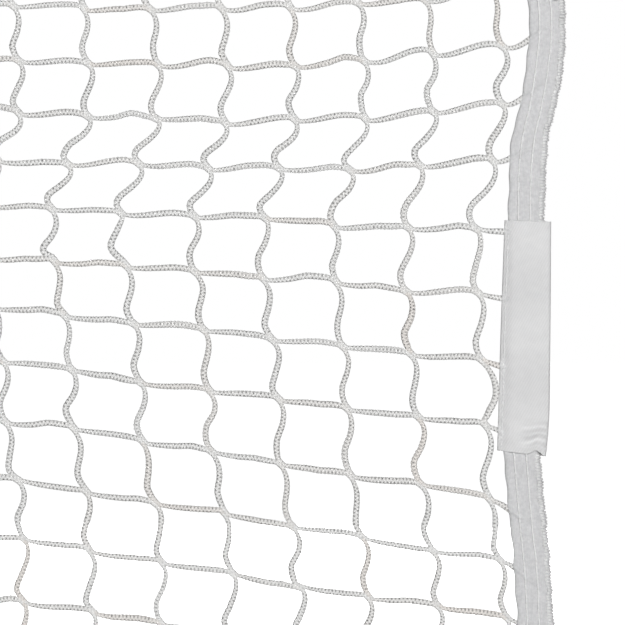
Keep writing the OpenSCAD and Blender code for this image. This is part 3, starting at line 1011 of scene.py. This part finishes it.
def sleeve(end, side, place, seed):
    """One sleeve round a side tape; gives the seams of the stitching that closes it."""
    low_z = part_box(f"sleeve_{side}_{place}")[0][2]
    up = np.linspace(0, SLEEVE_H, 190 if end > 0 and place == "middle" else 60)
    name = f"sleeve_{side}_{place}"
    cloth, flat_w = folded_sheet(
        name, sleeve_section, up, lambda *at: sleeve_point(*at, low_z, end, seed), SLEEVE_T, SLEEVE, end
    )
    stand_for(cloth, "sleeve_fabric", name)
    up = np.arange(3 * MM, SLEEVE_H - 2 * MM, 3.4 * MM)
    seam = np.full_like(up, SLEEVE_SEAM)
    return face_seams(sleeve_section, [seam], lambda *at: sleeve_point(*at, up, low_z, end, seed))


for end, side in SIDES:
    seams = []
    for place, seed in SLEEVE_SEEDS.items():
        seams += sleeve(end, side, place, seed + (end < 0))
    stitches(f"sleeve_{side}_stitching", seams, f"sleeve_seams_{side}", 0.3 * MM, dip=1.6)


# ---------------------------------------------------------------- headband and bottom tape

BAND_T = 0.7 * MM

# Sections in millimetres: height from the open edge, and how far each face stands from the band's middle.
HEADBAND_HALF = (
    *((0, 2.1), (0.4, 2.6), (2, 2.9), (4, 2.7), (7.5, 3.3), (11, 2.9), (16, 3.8)),
    *((22, 4.2), (36, 4.2), (40, 4.4), (43, 3.6), (44.6, 1.8), (45, 0)),
)
BOTTOM_HALF = (
    *((0, 2.1), (0.4, 2.6), (2, 2.9), (4, 2.8), (7.5, 3.2), (11, 3.1)),
    *((14, 3.9), (19, 4.2), (22, 3.6), (24, 2.4), (24.8, 1.2), (25, 0)),
)
BAND_SEAMS = (4 * MM, 11 * MM)
EYELET_HOLE = 5.0 * MM

headband_section = section_curve(HEADBAND_HALF, HEADBAND_HALF, 84)
bottom_section = section_curve(BOTTOM_HALF, BOTTOM_HALF, 56)


def band_point(up, out, x, open_z, direction, seed):
    """A point of a band: up from its open edge, out from its middle, at x. direction is 1 with its fold up."""
    face = 0.28 * MM * np.sign(out) * smoothstep(np.abs(out) / (1.5 * MM))
    pucker = waves(x + 0.4 * up, (1, 0.7, 0.5), (37 * MM, 19 * MM, 11 * MM), seed)
    pucker = pucker + waves(x - 0.7 * up, (0.8, 0.5), (83 * MM, 28 * MM), seed + 1)
    near_end = smoothstep((HALF_W - np.abs(x)) / (6 * MM))
    wavy_edge = waves(x, (0.5, 0.35), (310 * MM, 64 * MM), seed + 2) * MM * (1 - smoothstep(up / (12 * MM)))
    sway = waves(x, (0.35, 0.2), (420 * MM, 170 * MM), seed + 3) * MM * near_end
    z = open_z + direction * (up + wavy_edge * near_end)
    y = BAND_Y + out * (0.9 + 0.1 * near_end) + face * pucker * near_end + sway
    return np.stack(np.broadcast_arrays(x, y, z), -1)


def band_pieces(name, section, open_z, direction, seed, level, slot, rests_on):
    """A folded band with its eyelet holes and two seams on each face."""
    close_x = 1140 * MM
    x = np.concatenate([np.arange(-HALF_W, close_x, 5 * MM), np.linspace(close_x, HALF_W, 190)])
    near_hole = np.arange(-HALF_W, -HALF_W + 40 * MM, 1.6 * MM)
    x = np.unique(np.concatenate([x[x > -HALF_W + 40 * MM], near_hole]))
    hole = sum(node_box(f"eyelet_{level}_right")) / 2

    def kept(middle):
        return np.hypot(np.abs(middle[..., 0]) - hole[0], middle[..., 2] - hole[2]) > EYELET_HOLE

    def point(up, out, x):
        return band_point(up, out, x, open_z, direction, seed)

    cloth, flat_w = folded_sheet(name, section, x, point, BAND_T, HEADBAND, -direction, kept)
    stand_for(cloth, slot, name)
    x = np.arange(-HALF_W + 4 * MM, HALF_W - 4 * MM, 3.2 * MM)
    seams = face_seams(section, BAND_SEAMS, lambda up, out: point(up, out, x))
    thread = stitches(f"{name}_stitching", seams, f"{name}_seams", 0.38 * MM)


def corner_pieces(level, side):
    """A rolled brass eyelet through a corner, with a domed washer behind it. Their profiles are distances
    behind a face and radii, both in millimetres."""
    low, high = node_box(f"eyelet_{level}_{side}")
    washer_low, washer_high = node_box(f"washer_{level}_{side}")
    centre = ((low[0] + high[0]) / 2, 0, (low[2] + high[2]) / 2)
    edge = (high[0] - low[0]) / 2 / MM
    rim = ((0.1, 4.3), (-0.25, 4.9), (-0.35, 6.2), (-0.1, 7.8), (0.35, edge - 0.1))
    rim += ((0.75, edge), (0.8, edge - 0.4), (0.7, 7.2), (0.7, 5.1), (1.2, 4.9))
    barrel_end = ((0, 4.9), (0.25, 4.8), (0.2, 4.2), (-1, 4.2))
    washer_front = ((0, 5.0), (0, edge - 0.1), (0.3, edge))
    washer_back = ((-0.05, 7.8), (0.15, 6.3), (0, 5.2), (-0.15, 5.0))
    kinds = (
        ("eyelet", "rolled", ((low[1], rim), (washer_high[1], barrel_end))),
        ("washer", "domed", ((washer_low[1], washer_front), (washer_high[1], washer_back))),
    )
    for kind, shape, parts in kinds:
        profile = [(y + place * MM, radius * MM) for y, part in parts for place, radius in part]
        made = lathe(f"{kind}_{level}_{side}_{shape}", profile, centre, 1, BRASS, "net")
        stand_for(made, "eyelet_brass", f"{kind}_{level}_{side}")


# ---------------------------------------------------------------- headline cord, its eyes and ferrules

headline_low, headline_high = node_box("headline_cord")
HEADLINE_R = (headline_high[1] - headline_low[1]) / 2
HEADLINE_Z = (headline_high[2] + headline_low[2]) / 2
HEADLINE_Y = (headline_high[1] + headline_low[1]) / 2
ferrule_low, ferrule_high = node_box("ferrule_right")
eye_low, eye_high = node_box("headline_eye_right")
EYE_MID_R = (eye_high[2] - eye_low[2]) / 2 - HEADLINE_R
EYE_X = eye_high[0] - HEADLINE_R - EYE_MID_R
EYE_OPEN = math.radians(40)
LEG_Z = 3.2 * MM


def braided(name, path, rings, sides, relief, replaced):
    """A closed braided tube along one path, in the headline's finish."""
    path = even_paths(np.array(path, float)[None], rings)
    along = distances(path) / HEADLINE_STITCH
    turns = np.arange(sides) / sides
    radii = HEADLINE_R - relief * braid_pits(along[:, :, None], turns, HEADLINE_BRAID)
    made = closed_tubes(name, path, radii, (0, -1, 0), along, HEADLINE_CORD, "headline", KNITTED)
    stand_for(made, "headline_braid", replaced)


def headline_eye(end, side):
    """The loop of cord at one end of the headline."""
    angles = np.linspace(math.pi - EYE_OPEN, EYE_OPEN - math.pi, 60)
    circle = [(EYE_X + EYE_MID_R * math.cos(a), EYE_MID_R * math.sin(a)) for a in angles]
    leg_in, leg_out = ferrule_high[0] - 2 * MM, ferrule_high[0] + 1.5 * MM
    points = [(leg_in, LEG_Z), (leg_out, LEG_Z), *circle, (leg_out, -LEG_Z), (leg_in, -LEG_Z)]
    path = np.array([[end * x, HEADLINE_Y, HEADLINE_Z + z] for x, z in points])
    path = rounded(even_paths(path[None], 160), 30)[0]
    braided(f"headline_eye_{side}_braid", path, 150, 24, 0.3 * MM, f"headline_eye_{side}")


def ferrule(end, side):
    """A crimped aluminium ferrule round the cord and the legs of its eye."""
    low, high = ferrule_low[0], ferrule_high[0]
    radius = (ferrule_high[2] - ferrule_low[2]) / 2
    along = np.linspace(low, high, 61)
    crimp = 0.55 * MM * np.cos(np.pi * (along - low) / (high - low) * 6) ** 8
    from_edge = np.minimum(along - low, high - along) / (0.9 * MM)
    edge = 0.7 * MM * (1 - np.sqrt(1 - np.clip(1 - from_edge, 0, 1) ** 2))
    outer = radius - crimp * (edge < 0.01 * MM) - edge
    bore = HEADLINE_R * 1.02
    profile = [*zip(along, outer), (high, radius - 1.6 * MM), (high - 1.2 * MM, bore), (low + 1.2 * MM, bore)]
    profile += [(low, radius - 1.6 * MM)]
    profile = [(end * place, size) for place, size in profile]
    made = lathe(f"ferrule_{side}_crimped", profile, (0, HEADLINE_Y, HEADLINE_Z), 0, ALUMINIUM, "headline")
    stand_for(made, "ferrule_aluminium", f"ferrule_{side}")


cord_path = [(x, HEADLINE_Y, HEADLINE_Z) for x in (headline_low[0], headline_high[0])]
braided("headline_braid", cord_path, 2400, 16, 0.25 * MM, "headline_cord")
for end, side in SIDES:
    headline_eye(end, side)
    ferrule(end, side)
bands = (
    ("headband", headband_section, BAND_Z, 1, 61, "upper", "headband_fabric", "headline_braid"),
    ("bottom_tape", bottom_section, BOTTOM_TAPE_H, -1, 71, "lower", "tape_webbing", "netting_right_below"),
)
for band in bands:
    band_pieces(*band)
for level in ("upper", "lower"):
    for _, side in SIDES[::-1]:
        corner_pieces(level, side)


FLOOR = 30.0
# The floor is plain within this ellipse round the net and fades into the white behind it outside.
FADE_X, FADE_Y = 2.4, 1.35
floor_mesh = bpy.data.meshes.new("floor")
corners = [(-FLOOR, -FLOOR, 0), (FLOOR, -FLOOR, 0), (FLOOR, FLOOR, 0), (-FLOOR, FLOOR, 0)]
floor_mesh.from_pydata(corners, [], [(0, 1, 2, 3)])
floor = bpy.data.objects.new("floor", floor_mesh)
scene.collection.objects.link(floor)
paint = Nodes("floor_paint", roughness=0.9, specular=0.1)
paint.colour(paint.blend(paint.noise(3), grey(0.80), grey(0.84)))
floor_x, floor_y = paint.split(paint.node("ShaderNodeTexCoord").outputs["Object"])
far_x = paint.math("POWER", paint.times(floor_x, 1 / FADE_X), 2.0)
far_y = paint.math("POWER", paint.times(floor_y, 1 / FADE_Y), 2.0)
fade = paint.node("ShaderNodeMapRange", interpolation_type="SMOOTHSTEP")
paint.put(paint.math("SQRT", paint.math("ADD", far_x, far_y)), fade.inputs["Value"])
for socket, value in (("From Min", 0.7), ("From Max", 1.9), ("To Min", 0.52), ("To Max", 1.0)):
    fade.inputs[socket].default_value = value
seen = paint.node("ShaderNodeLightPath").outputs["Is Camera Ray"]
paint.put(paint.times(seen, fade.outputs["Result"]), paint.shader.inputs["Emission Strength"])
paint.shader.inputs["Emission Color"].default_value = (1, 1, 1, 1)
floor_mesh.materials.append(paint.material)
